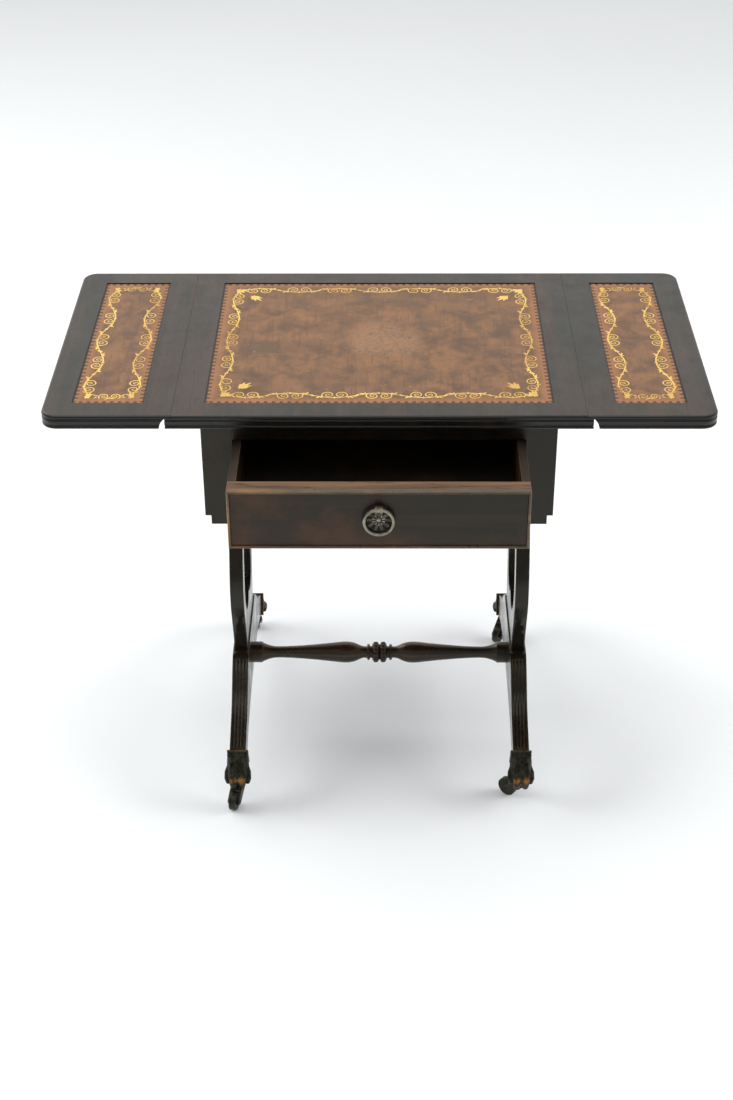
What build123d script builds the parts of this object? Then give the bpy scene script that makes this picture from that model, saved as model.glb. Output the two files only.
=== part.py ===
from build123d import *
import math
import os

os.makedirs("parts", exist_ok=True)

# A drop-leaf table on two lyre ends, millimetres, +Z up, floor at z = 0.
# X runs from leaf to leaf, -Y is the drawer side.  The drawer stands part open, so the
# origin lies under the middle of the whole footprint, and the table's own middle is mid_y.

# ---- driving dimensions -------------------------------------------------------------
height = 598.0
depth = 400.0
joint_x = 245.0          # rule joint line, from the middle
leaf_reach = 155.0       # joint line to the leaf's outer edge
top_thick = 17.5
leaf_corner = 19.0
rule_radius = 14.5       # ovolo of the rule joint, about the hinge pin
ovolo_reach = 7.7        # the ovolo is cut off square this far out
moving_gap = 0.3         # clearance between pieces that move past each other
hair = 0.05              # radial clearance of pins and stems

leather_thick = 1.2
leather_sink = 1.0
leather_half_y = 167.5
centre_leather_half_x = 208.0
leaf_leather_x = (280.0, 366.0)

case_half_x = 212.0
case_half_y = 190.0
case_bottom = 442.0
case_step = (7.0, 12.0)  # the case's lower outer corners are notched, width and height
front_thick = 20.0
stile_width = 37.0
opening_z = (481.5, 560.5)
apron_thick = 20.0
fly_thick = 16.0

drawer_pull_out = 115.5
drawer_length = 340.0
drawer_side_gap = 1.0
drawer_z = (482.7, 559.3)
drawer_front_thick = 22.0
drawer_wall = 10.0
bead_width = 3.0
bead_stand = 2.5
bead_depth = 8.0
groove_depth = 4.0
bottom_z = (491.0, 496.0)

pull_z = 522.0
pull_ring_radius = 16.8
pull_wire = 1.8
pull_axis_stand = 7.0    # ring axis in front of the drawer front
knuckle_stand = 10.5

end_x = 189.5            # middle plane of each lyre end
lyre_thick = 18.0
leg_thick = 21.5
foot_top = 156.0         # lyre sits on the legs here
stretcher_z = 107.0
tenon_radius = 8.0
tenon_length = 14.0

leg_slope = 25.0         # the leg's end points this far below level
leg_end = (177.9, 65.1)  # centre of the leg's end section, y out from the middle, z
leg_end_deep = 29.0
socket_hold = 8.0        # leg length inside the brass socket
paw_bottom = 31.3
swivel_y = 190.0
trail = 20.0
wheel_radius = 13.0
wheel_width = 9.0
axle_radius = 2.0
stem_radius = 4.0
stem_top = 46.0

# ---- worked out ---------------------------------------------------------------------
front_most = case_half_y + drawer_pull_out + knuckle_stand
back_most = swivel_y + trail + wheel_radius
mid_y = (front_most - back_most) / 2
under = height - top_thick
leather_floor = height - leather_sink - leather_thick
drawer_front_y = mid_y - case_half_y - drawer_pull_out
drawer_back_y = drawer_front_y + drawer_length
drawer_half_x = case_half_x - stile_width - drawer_side_gap
apron_x = (case_half_x - fly_thick - apron_thick, case_half_x - fly_thick)
fly_x = (apron_x[1], case_half_x)
inner_y = (mid_y - case_half_y + front_thick, mid_y + case_half_y - front_thick)
corner = (Align.MIN, Align.MIN, Align.MIN)
stretcher_half = end_x - leg_thick / 2
sides = (("left", -1), ("right", 1))


def span(sign, inner, outer):
    """Low and high X of something that lies between two distances from the middle."""
    return (inner, outer) if sign > 0 else (-outer, -inner)


def profile_plane(x):
    """Plane across the table at x: its X is the table's Y from the middle, its Y is height."""
    return Plane(origin=(x, mid_y, 0), x_dir=(0, 1, 0), z_dir=(1, 0, 0))


def board(x, y, z):
    """A squared board between its low and high x, y and z."""
    with BuildPart() as piece:
        with Locations((x[0], y[0], z[0])):
            Box(x[1] - x[0], y[1] - y[0], z[1] - z[0], align=corner)
    return piece


# ---- table top ----------------------------------------------------------------------
reed_grooves = (height - 5.5, height - 13.4)
reed_groove_radius = 1.8
hinge_y = (mid_y - 130.0, mid_y + 130.0)
hinge_length = 56.0
hinge_plate = 1.8
hinge_knuckle = 3.2
hinge_pin = 1.5
hinge_fixed_reach = 31.0
hinge_leaf_reach = 55.0
knuckle_count = 5
screw_radius = 1.6
screw_head = 3.2
screw_length = 10.0
fixed_screw_x = joint_x - 17.0
leaf_screw_x = joint_x + 36.0
screw_spread = 38.0

with BuildPart() as top_board:
    with BuildSketch(Plane.XZ.offset(-mid_y - depth / 2)):
        with BuildLine():
            ovolo_rise = math.sqrt(rule_radius**2 - ovolo_reach**2)
            edge_x = joint_x - moving_gap / 2
            Polyline(
                (0, under),
                (joint_x + ovolo_reach, under),
                (joint_x + ovolo_reach, under + ovolo_rise),
            )
            RadiusArc(
                (joint_x + ovolo_reach, under + ovolo_rise), (joint_x, under + rule_radius), -rule_radius
            )
            Polyline(
                (joint_x, under + rule_radius),
                (edge_x, under + rule_radius),
                (edge_x, height),
                (0, height),
                (0, under),
            )
        make_face()
        mirror(about=Plane.YZ)
    extrude(amount=depth)
    long_edges = top_board.edges().filter_by(Axis.X)
    fillet(long_edges.filter_by(lambda e: abs(e.center().Z - height) < 0.01), radius=3.0)
    long_edges = top_board.edges().filter_by(Axis.X)
    fillet(long_edges.filter_by(lambda e: abs(e.center().Z - under) < 0.01), radius=1.4)
    # reeds along the front and back edges
    for groove_z in reed_grooves:
        for edge_y in (mid_y - depth / 2, mid_y + depth / 2):
            with Locations((0, edge_y, groove_z)):
                Cylinder(reed_groove_radius, 600, rotation=(0, 90, 0), mode=Mode.SUBTRACT)
    # recess for the leather
    with BuildSketch(Plane.XY.offset(leather_floor)):
        with Locations((0, mid_y)):
            Rectangle(2 * centre_leather_half_x, 2 * leather_half_y)
    extrude(amount=10, mode=Mode.SUBTRACT)
    # beds for the hinge knuckles, and screw holes under the top
    for sign in (-1, 1):
        for y in hinge_y:
            with Locations((sign * joint_x, y, under)):
                Cylinder(hinge_knuckle + 0.5, hinge_length + 2, rotation=(90, 0, 0), mode=Mode.SUBTRACT)
            with Locations((sign * (joint_x + 4), y, under)):
                Box(10, hinge_length + 2, 0.8, mode=Mode.SUBTRACT)
            with Locations((sign * fixed_screw_x, y, under)):
                with GridLocations(0, screw_spread, 1, 2):
                    Cylinder(screw_radius, 2 * (screw_length - hinge_plate), mode=Mode.SUBTRACT)
top_board.part.label = "top_board"
export_step(top_board.part, "parts/top_board.step")

with BuildPart() as top_leather:
    with BuildSketch(Plane.XY.offset(leather_floor)):
        with Locations((0, mid_y)):
            Rectangle(2 * centre_leather_half_x, 2 * leather_half_y)
    extrude(amount=leather_thick)
top_leather.part.label = "top_leather"
export_step(top_leather.part, "parts/top_leather.step")


def make_leaf(sign):
    """A leaf, raised level with the top: reeded on three edges, coved on the joint edge."""
    inner = joint_x + moving_gap / 2
    outer = joint_x + leaf_reach
    low_y, high_y = mid_y - depth / 2, mid_y + depth / 2
    with BuildPart() as leaf:
        with BuildSketch(Plane.XY.offset(under)):
            with BuildLine():
                FilletPolyline(
                    (sign * inner, low_y),
                    (sign * outer, low_y),
                    (sign * outer, high_y),
                    (sign * inner, high_y),
                    radius=leaf_corner,
                )
                Line((sign * inner, high_y), (sign * inner, low_y))
            make_face()
        extrude(amount=top_thick)
        rim = leaf.edges().filter_by(lambda e: abs(e.center().X) > inner + 0.5)
        fillet(rim.filter_by(lambda e: abs(e.bounding_box().min.Z - height) < 0.01), radius=3.0)
        rim = leaf.edges().filter_by(lambda e: abs(e.center().X) > inner + 0.5)
        fillet(rim.filter_by(lambda e: abs(e.bounding_box().max.Z - under) < 0.01), radius=1.4)
        for groove_z in reed_grooves:
            with BuildLine(Plane.XY.offset(groove_z)) as rim_path:
                FilletPolyline(
                    (sign * (inner - 5), low_y),
                    (sign * outer, low_y),
                    (sign * outer, high_y),
                    (sign * (inner - 5), high_y),
                    radius=leaf_corner,
                )
            with BuildSketch(Plane(origin=(sign * (inner - 5), low_y, groove_z), z_dir=(sign, 0, 0))):
                Circle(reed_groove_radius)
            sweep(path=rim_path.wire(), mode=Mode.SUBTRACT)
        with Locations((sign * joint_x, mid_y, under)):
            Cylinder(rule_radius + moving_gap, depth + 10, rotation=(90, 0, 0), mode=Mode.SUBTRACT)
        with BuildSketch(Plane.XY.offset(leather_floor)):
            with Locations((sign * sum(leaf_leather_x) / 2, mid_y)):
                Rectangle(leaf_leather_x[1] - leaf_leather_x[0], 2 * leather_half_y)
        extrude(amount=10, mode=Mode.SUBTRACT)
        for y in hinge_y:
            with Locations((sign * leaf_screw_x, y, under)):
                with GridLocations(0, screw_spread, 1, 2):
                    Cylinder(screw_radius, 2 * (screw_length - hinge_plate), mode=Mode.SUBTRACT)
    return leaf


for side, sign in sides:
    leaf = make_leaf(sign)
    leaf.part.label = f"{side}_leaf"
    export_step(leaf.part, f"parts/{side}_leaf.step")

    with BuildPart() as leaf_leather:
        with BuildSketch(Plane.XY.offset(leather_floor)):
            with Locations((sign * sum(leaf_leather_x) / 2, mid_y)):
                Rectangle(leaf_leather_x[1] - leaf_leather_x[0], 2 * leather_half_y)
        extrude(amount=leather_thick)
    leaf_leather.part.label = f"{side}_leaf_leather"
    export_step(leaf_leather.part, f"parts/{side}_leaf_leather.step")


# ---- rule joint hinges --------------------------------------------------------------
def make_hinge_plates(sign, reach, screw_x, first, bore):
    """Two hinge plates under a joint line; knuckles first, first + 2, ... belong to them."""
    towards = 1 if screw_x > joint_x else -1
    pitch = hinge_length / knuckle_count
    with BuildPart() as plates:
        for y in hinge_y:
            start = y - hinge_length / 2
            with BuildSketch(Plane.XY.offset(under - hinge_plate)):
                with Locations((sign * (joint_x + towards * (reach + 3.7) / 2), y)):
                    Rectangle(reach - 3.7, hinge_length)
            extrude(amount=hinge_plate)
            for k in range(first, knuckle_count, 2):
                middle = start + (k + 0.5) * pitch
                with Locations((sign * joint_x, middle, under)):
                    Cylinder(hinge_knuckle, pitch - moving_gap, rotation=(90, 0, 0))
                with Locations((sign * (joint_x + towards * 2.5), middle, under - hinge_plate / 2)):
                    Box(5.0, pitch - moving_gap, hinge_plate)
            with Locations((sign * joint_x, y, under)):
                Cylinder(bore, hinge_length + 1, rotation=(90, 0, 0), mode=Mode.SUBTRACT)
            with Locations((sign * screw_x, y, under - hinge_plate)):
                with GridLocations(0, screw_spread, 1, 2):
                    Cylinder(screw_radius, 3 * hinge_plate, mode=Mode.SUBTRACT)
                    Cone(
                        screw_head,
                        screw_radius,
                        hinge_plate,
                        align=(Align.CENTER, Align.CENTER, Align.MIN),
                        mode=Mode.SUBTRACT,
                    )
    return plates


def make_screws(x_places):
    """Countersunk screws driven up into the top at each x, two to a hinge plate."""
    with BuildPart() as screws:
        for x in x_places:
            for y in hinge_y:
                with Locations((x, y, under - hinge_plate)):
                    with GridLocations(0, screw_spread, 1, 2):
                        Cylinder(screw_radius, screw_length, align=(Align.CENTER, Align.CENTER, Align.MIN))
                        Cone(
                            screw_head,
                            screw_radius,
                            hinge_plate,
                            align=(Align.CENTER, Align.CENTER, Align.MIN),
                        )
                        Box(4.6, 0.8, 1.2, mode=Mode.SUBTRACT)
    return screws


for side, sign in sides:
    frame_plates = make_hinge_plates(sign, hinge_fixed_reach, fixed_screw_x, 0, hinge_pin)
    frame_plates.part.label = f"{side}_hinge_frame_plates"
    export_step(frame_plates.part, f"parts/{side}_hinge_frame_plates.step")

    leaf_plates = make_hinge_plates(sign, hinge_leaf_reach, leaf_screw_x, 1, hinge_pin + hair)
    leaf_plates.part.label = f"{side}_hinge_leaf_plates"
    export_step(leaf_plates.part, f"parts/{side}_hinge_leaf_plates.step")

    leaf_screws = make_screws([sign * leaf_screw_x])
    leaf_screws.part.label = f"{side}_leaf_screws"
    export_step(leaf_screws.part, f"parts/{side}_leaf_screws.step")

frame_screws = make_screws([-fixed_screw_x, fixed_screw_x])
frame_screws.part.label = "hinge_frame_screws"
export_step(frame_screws.part, "parts/hinge_frame_screws.step")

with BuildPart() as hinge_pins:
    for sign in (-1, 1):
        for y in hinge_y:
            with Locations((sign * joint_x, y, under)):
                Cylinder(hinge_pin, hinge_length, rotation=(90, 0, 0))
hinge_pins.part.label = "hinge_pins"
export_step(hinge_pins.part, "parts/hinge_pins.step")


# ---- case ---------------------------------------------------------------------------
def notched_board(x, y):
    """An upright board of the case's full height with its lower outer corner notched."""
    step_x, step_z = case_step
    with BuildPart() as piece:
        with Locations((x[0], y[0], case_bottom)):
            Box(x[1] - x[0], y[1] - y[0], under - case_bottom, align=corner)
        for sign in (-1, 1):
            outer = case_half_x if sign > 0 else -case_half_x
            with Locations((outer, (y[0] + y[1]) / 2, case_bottom)):
                Box(2 * step_x, y[1] - y[0] + 1, 2 * step_z, mode=Mode.SUBTRACT)
    return piece


front_y = (mid_y - case_half_y, inner_y[0])
back_y = (inner_y[1], mid_y + case_half_y)
stile_inner = case_half_x - stile_width
for side, sign in sides:
    stile = notched_board(span(sign, stile_inner, case_half_x), front_y)
    stile.part.label = f"{side}_stile"
    export_step(stile.part, f"parts/{side}_stile.step")

    apron = board(span(sign, *apron_x), inner_y, (case_bottom, under))
    apron.part.label = f"{side}_side_apron"
    export_step(apron.part, f"parts/{side}_side_apron.step")

top_rail = board((-stile_inner, stile_inner), front_y, (opening_z[1], under))
top_rail.part.label = "top_rail"
export_step(top_rail.part, "parts/top_rail.step")

bottom_rail = board((-stile_inner, stile_inner), front_y, (case_bottom, opening_z[0]))
bottom_rail.part.label = "bottom_rail"
export_step(bottom_rail.part, "parts/bottom_rail.step")

back_apron = notched_board((-case_half_x, case_half_x), back_y)
back_apron.part.label = "back_apron"
export_step(back_apron.part, "parts/back_apron.step")

# The drawer's sides slide on runners, under kickers, and its back meets two stops.
runner_width = 16.0
runner_top = drawer_z[0] - 0.5
kicker_bottom = drawer_z[1] + 0.4
closed_back_y = drawer_back_y + drawer_pull_out
for side, sign in sides:
    runner = board(span(sign, apron_x[0] - runner_width, apron_x[0]), inner_y, (runner_top - 14, runner_top))
    runner.part.label = f"{side}_drawer_runner"
    export_step(runner.part, f"parts/{side}_drawer_runner.step")

with BuildPart() as kickers:
    for sign in (-1, 1):
        x = span(sign, apron_x[0] - runner_width, apron_x[0])
        with Locations((x[0], inner_y[0], kicker_bottom)):
            Box(runner_width, inner_y[1] - inner_y[0], under - kicker_bottom, align=corner)
kickers.part.label = "drawer_kickers"
export_step(kickers.part, "parts/drawer_kickers.step")

with BuildPart() as stops:
    for sign in (-1, 1):
        x = span(sign, apron_x[0] - runner_width, apron_x[0])
        with Locations((x[0], closed_back_y + moving_gap, runner_top)):
            Box(runner_width, inner_y[1] - closed_back_y - moving_gap, 30, align=corner)
stops.part.label = "drawer_stops"
export_step(stops.part, "parts/drawer_stops.step")

# ---- fly rails, with a bracket on a wooden knuckle that swings out under the leaf -------
knuckle_y = mid_y + 65.0
bracket_tip_y = mid_y - 60.0
bracket_z = (508.0, under - moving_gap)
finger_z = (528.0, 560.0)       # middle finger, on the bracket
knuckle_radius = fly_thick / 2
fly_mid_x = (fly_x[0] + fly_x[1]) / 2
peg_radius = 2.5
swing_clear = 11.9              # swept by the corners of the bracket's middle finger


def make_fly_rail(sign):
    """The fixed part of a fly rail, stepped below and cut away for its bracket."""
    step_x, step_z = case_step
    x = span(sign, *fly_x)
    with BuildPart() as rail:
        with Locations((x[0], inner_y[0], case_bottom)):
            Box(fly_thick, inner_y[1] - inner_y[0], under - case_bottom, align=corner)
        with Locations((sign * case_half_x, mid_y, case_bottom)):
            Box(2 * step_x, depth, 2 * step_z, mode=Mode.SUBTRACT)
        with Locations((x[0], bracket_tip_y - 1.5, bracket_z[0] - moving_gap)):
            Box(fly_thick, knuckle_y - bracket_tip_y + 1.5, 100, align=corner, mode=Mode.SUBTRACT)
        with Locations((sign * fly_mid_x, knuckle_y, bracket_z[0] - moving_gap)):
            Cylinder(
                knuckle_radius, 100, align=(Align.CENTER, Align.CENTER, Align.MIN), mode=Mode.ADD
            )
        with Locations((sign * fly_mid_x, knuckle_y, finger_z[0])):
            Cylinder(
                swing_clear,
                finger_z[1] - finger_z[0],
                align=(Align.CENTER, Align.CENTER, Align.MIN),
                mode=Mode.SUBTRACT,
            )
        with Locations((sign * fly_mid_x, knuckle_y, under)):
            Box(40, 40, 200, align=(Align.CENTER, Align.CENTER, Align.MIN), mode=Mode.SUBTRACT)
            Cylinder(peg_radius, 2 * (under - bracket_z[0] - 5), mode=Mode.SUBTRACT)
    return rail


def make_bracket(sign):
    """A fly bracket, folded into its rail, with an ogee under its free end."""
    x = span(sign, *fly_x)
    with BuildPart() as bracket:
        with BuildSketch(profile_plane(x[0])):
            with BuildLine():
                tip = bracket_tip_y - mid_y
                root = knuckle_y - mid_y
                Polyline((root, bracket_z[0]), (root, bracket_z[1]), (tip, bracket_z[1]))
                Line((tip, bracket_z[1]), (tip, bracket_z[1] - 24))
                Spline(
                    (tip, bracket_z[1] - 24),
                    (tip + 22, bracket_z[1] - 30),
                    (tip + 48, bracket_z[0] + 12),
                    (tip + 72, bracket_z[0]),
                    tangents=((1, 0), (1, 0)),
                )
                Line((tip + 72, bracket_z[0]), (root, bracket_z[0]))
            make_face()
        extrude(amount=fly_thick)
        below_finger = (bracket_z[0] - 1, finger_z[0] + moving_gap)
        above_finger = (finger_z[1] - moving_gap, under + 1)
        for low, high in (below_finger, above_finger):
            with Locations((sign * fly_mid_x, knuckle_y, low)):
                Cylinder(
                    knuckle_radius + moving_gap,
                    high - low,
                    align=(Align.CENTER, Align.CENTER, Align.MIN),
                    mode=Mode.SUBTRACT,
                )
                Box(
                    fly_thick,
                    2 * (knuckle_radius + moving_gap),
                    high - low,
                    align=(Align.CENTER, Align.CENTER, Align.MIN),
                    mode=Mode.SUBTRACT,
                )
        with Locations((sign * fly_mid_x, knuckle_y, finger_z[0] + moving_gap)):
            Cylinder(
                knuckle_radius,
                finger_z[1] - finger_z[0] - 2 * moving_gap,
                align=(Align.CENTER, Align.CENTER, Align.MIN),
            )
            Cylinder(peg_radius + hair, 100, mode=Mode.SUBTRACT)
    return bracket


for side, sign in sides:
    fly_rail = make_fly_rail(sign)
    fly_rail.part.label = f"{side}_fly_rail"
    export_step(fly_rail.part, f"parts/{side}_fly_rail.step")

    fly_bracket = make_bracket(sign)
    fly_bracket.part.label = f"{side}_fly_bracket"
    export_step(fly_bracket.part, f"parts/{side}_fly_bracket.step")

with BuildPart() as knuckle_pegs:
    for sign in (-1, 1):
        with Locations((sign * fly_mid_x, knuckle_y, bracket_z[0] + 6)):
            Cylinder(
                peg_radius, under - bracket_z[0] - 7, align=(Align.CENTER, Align.CENTER, Align.MIN)
            )
knuckle_pegs.part.label = "knuckle_pegs"
export_step(knuckle_pegs.part, "parts/knuckle_pegs.step")

# ---- drawer -------------------------------------------------------------------------
drawer_width = 2 * drawer_half_x
drawer_height = drawer_z[1] - drawer_z[0]
drawer_mid_z = sum(drawer_z) / 2
rebate = bead_depth - bead_stand
side_start_y = drawer_front_y + drawer_front_thick

with BuildPart() as drawer_front:
    with Locations((0, drawer_front_y, drawer_mid_z)):
        Box(
            drawer_width - 2 * bead_width,
            drawer_front_thick,
            drawer_height - 2 * bead_width,
            align=(Align.CENTER, Align.MIN, Align.CENTER),
        )
    with Locations((0, drawer_front_y + rebate, drawer_mid_z)):
        Box(
            drawer_width,
            drawer_front_thick - rebate,
            drawer_height,
            align=(Align.CENTER, Align.MIN, Align.CENTER),
        )
    # groove for the drawer bottom
    with Locations((0, side_start_y, bottom_z[0])):
        Box(
            2 * (drawer_half_x - drawer_wall + groove_depth),
            2 * groove_depth,
            bottom_z[1] - bottom_z[0],
            align=(Align.CENTER, Align.CENTER, Align.MIN),
            mode=Mode.SUBTRACT,
        )
    with Locations((0, drawer_front_y, pull_z)):
        Cylinder(2.0, 100, rotation=(90, 0, 0), mode=Mode.SUBTRACT)
drawer_front.part.label = "drawer_front"
export_step(drawer_front.part, "parts/drawer_front.step")

with BuildPart() as cock_bead:
    with BuildSketch(Plane.XZ.offset(-drawer_front_y - rebate)):
        with Locations((0, drawer_mid_z)):
            Rectangle(drawer_width, drawer_height)
            Rectangle(drawer_width - 2 * bead_width, drawer_height - 2 * bead_width, mode=Mode.SUBTRACT)
    extrude(amount=bead_depth)
    nose = cock_bead.faces().sort_by(Axis.Y)[0]
    fillet(nose.edges(), radius=1.3)
cock_bead.part.label = "drawer_cock_bead"
export_step(cock_bead.part, "parts/drawer_cock_bead.step")

back_board_y = (drawer_back_y - drawer_wall, drawer_back_y)
for side, sign in sides:
    x = span(sign, drawer_half_x - drawer_wall, drawer_half_x)
    with BuildPart() as drawer_side:
        with Locations((x[0], side_start_y, drawer_z[0])):
            Box(drawer_wall, drawer_back_y - side_start_y, drawer_height, align=corner)
        with Locations((sign * (drawer_half_x - drawer_wall), side_start_y, bottom_z[0])):
            Box(
                2 * groove_depth,
                drawer_length,
                bottom_z[1] - bottom_z[0],
                align=(Align.CENTER, Align.MIN, Align.MIN),
                mode=Mode.SUBTRACT,
            )
    drawer_side.part.label = f"drawer_{side}_side"
    export_step(drawer_side.part, f"parts/drawer_{side}_side.step")

inside_half_x = drawer_half_x - drawer_wall
drawer_back = board((-inside_half_x, inside_half_x), back_board_y, (bottom_z[1], drawer_z[1] - 6))
drawer_back.part.label = "drawer_back"
export_step(drawer_back.part, "parts/drawer_back.step")

panel_half_x = inside_half_x + groove_depth - 0.2
drawer_bottom = board(
    (-panel_half_x, panel_half_x), (side_start_y - groove_depth + 0.2, drawer_back_y), bottom_z
)
drawer_bottom.part.label = "drawer_bottom"
export_step(drawer_bottom.part, "parts/drawer_bottom.step")

# Ring pull: round plate with a flower boss, a knuckle above it and a ring through the knuckle.
plate_radius = 19.2
plate_thick = 2.0
boss_radius = 13.0
boss_rise = 1.4
petal_radius = 1.9
petal_ring = 7.4
ring_axis_z = pull_z + pull_ring_radius
ring_axis_y = drawer_front_y - pull_axis_stand
petal_count = 10
pull_plane = Plane(origin=(0, drawer_front_y, pull_z), x_dir=(1, 0, 0), z_dir=(0, -1, 0))

with BuildPart() as backplate:
    with BuildSketch(pull_plane):
        Circle(plate_radius)
    extrude(amount=plate_thick)
    rim = backplate.faces().sort_by(Axis.Y)[0].edges()
    fillet(rim, radius=1.2)
    with BuildSketch(pull_plane.offset(plate_thick)):
        Circle(boss_radius)
    extrude(amount=boss_rise, taper=40)
    for petal in range(petal_count):
        turn = 2 * math.pi * petal / petal_count
        petal_x, petal_z = petal_ring * math.cos(turn), petal_ring * math.sin(turn)
        with Locations((petal_x, drawer_front_y - plate_thick - boss_rise, pull_z + petal_z)):
            Sphere(petal_radius)
    with Locations((0, drawer_front_y - plate_thick - boss_rise, pull_z)):
        Sphere(petal_radius + 0.8)
    with Locations((0, drawer_front_y, pull_z)):
        Cylinder(2.0, 2.0, rotation=(90, 0, 0), mode=Mode.SUBTRACT)
backplate.part.label = "pull_backplate"
export_step(backplate.part, "parts/pull_backplate.step")

with BuildPart() as pull_knuckle:
    with Locations((0, drawer_front_y - plate_thick, ring_axis_z)):
        Box(9.0, knuckle_stand - plate_thick, 8.4, align=(Align.CENTER, Align.MAX, Align.CENTER))
    fillet(pull_knuckle.edges().filter_by(Axis.X).sort_by(Axis.Y)[:2], radius=2.5)
    with Locations((0, ring_axis_y, ring_axis_z)):
        Cylinder(pull_wire + 0.95, 20, rotation=(0, 90, 0), mode=Mode.SUBTRACT)
pull_knuckle.part.label = "pull_knuckle"
export_step(pull_knuckle.part, "parts/pull_knuckle.step")

with BuildPart() as pull_ring:
    with Locations((0, ring_axis_y, pull_z)):
        Torus(pull_ring_radius, pull_wire, rotation=(90, 0, 0))
pull_ring.part.label = "pull_ring"
export_step(pull_ring.part, "parts/pull_ring.step")

with BuildPart() as pull_bolt:
    with BuildSketch(Plane.XZ.offset(-drawer_front_y + 1.0)):
        with Locations((0, pull_z)):
            Circle(2.0)
    extrude(amount=-(drawer_front_thick + 5.0))
    with BuildSketch(Plane.XZ.offset(-side_start_y)):
        with Locations((0, pull_z)):
            RegularPolygon(5.0, 4)
    extrude(amount=-3.0)
pull_bolt.part.label = "pull_bolt"
export_step(pull_bolt.part, "parts/pull_bolt.step")


# ---- lyre ends ----------------------------------------------------------------------
def make_lyre(sign):
    """A flat lyre board: swelling body with a pierced heart, narrow neck, spreading head."""
    head_half = 78.0
    foot_half = 60.0
    with BuildPart() as lyre:
        with BuildSketch(profile_plane(sign * end_x - lyre_thick / 2)):
            with BuildLine():
                Line((0, case_bottom), (head_half, case_bottom))
                Line((head_half, case_bottom), (head_half, case_bottom - 5))
                Spline(
                    (head_half, case_bottom - 5),
                    (56, 426),
                    (38, 390),
                    (52, 346),
                    (72, 298),
                    (82, 250),
                    (67, 194),
                    (foot_half, foot_top),
                )
                Line((foot_half, foot_top), (0, foot_top))
                Line((0, foot_top), (0, case_bottom))
            make_face()
            with BuildLine():
                Spline(
                    (0, 214),
                    (30, 203),
                    (57, 236),
                    (55, 278),
                    (40, 322),
                    (18, 368),
                    (0, 396),
                )
                Line((0, 396), (0, 214))
            make_face(mode=Mode.SUBTRACT)
            mirror(about=Plane.YZ)
        extrude(amount=lyre_thick)
    return lyre


leg_out = (math.cos(math.radians(leg_slope)), -math.sin(math.radians(leg_slope)))
leg_up = (-leg_out[1], leg_out[0])


def leg_point(along, up):
    """A point near the leg's end: distance out along the leg, and up across it."""
    return (
        leg_end[0] + along * leg_out[0] + up * leg_up[0],
        leg_end[1] + along * leg_out[1] + up * leg_up[1],
    )


def leg_crest(drop):
    """The upper edge of a leg from its knee to the socket, lowered by drop."""
    Spline(
        (78 - drop / 2, 152 - drop),
        (104 - drop / 2, 128 - drop),
        (125 - drop / 2, 109 - drop),
        (146 - drop / 2, 96.5 - drop),
        leg_point(-6, leg_end_deep / 2 - drop),
        tangents=((0.87, -0.5), leg_out),
    )


def make_leg(sign, facing):
    """A sabre leg, from the middle of the end to inside its socket; facing is +1 at the back."""
    half_deep = leg_end_deep / 2
    reed_hollow = 2.2
    reed_depth = 1.3
    reed_lines = (-6.9, -2.3, 2.3, 6.9)
    plane = Plane(origin=(sign * end_x, mid_y, 0), x_dir=(0, facing, 0), z_dir=(facing, 0, 0))
    with BuildPart() as leg:
        with BuildSketch(plane.offset(-leg_thick / 2)):
            with BuildLine():
                Polyline((0, foot_top), (66, foot_top))
                Spline(
                    (66, foot_top),
                    (78, 152),
                    (104, 128),
                    (125, 109),
                    (146, 96.5),
                    leg_point(0, half_deep),
                    tangents=((1, 0), leg_out),
                )
                Polyline(
                    leg_point(0, half_deep),
                    leg_point(socket_hold, half_deep),
                    leg_point(socket_hold, -half_deep),
                    leg_point(0, -half_deep),
                )
                Spline(
                    leg_point(0, -half_deep),
                    (130, 68.5),
                    (70, 79),
                    (0, 82),
                    tangents=((-leg_out[0], -leg_out[1]), (-1, 0)),
                )
                Line((0, 82), (0, foot_top))
            make_face()
        extrude(amount=leg_thick)
        # hollows between the reeds on the upper face
        for reed_x in reed_lines:
            with BuildSketch(plane.offset(reed_x - reed_hollow / 2)):
                with BuildLine():
                    leg_crest(reed_depth)
                    leg_crest(-4)
                    Line((78 - reed_depth / 2, 152 - reed_depth), (80, 156))
                    Line(leg_point(-6, half_deep - reed_depth), leg_point(-6, half_deep + 4))
                make_face()
            extrude(amount=reed_hollow, mode=Mode.SUBTRACT)
        with Locations((sign * stretcher_half, mid_y, stretcher_z)):
            Cylinder(tenon_radius, 2 * tenon_length + 1, rotation=(0, 90, 0), mode=Mode.SUBTRACT)
    return leg


for side, sign in sides:
    lyre = make_lyre(sign)
    lyre.part.label = f"{side}_lyre"
    export_step(lyre.part, f"parts/{side}_lyre.step")
    for place, facing in (("front", -1), ("back", 1)):
        leg = make_leg(sign, facing)
        leg.part.label = f"{place}_{side}_leg"
        export_step(leg.part, f"parts/{place}_{side}_leg.step")

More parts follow.
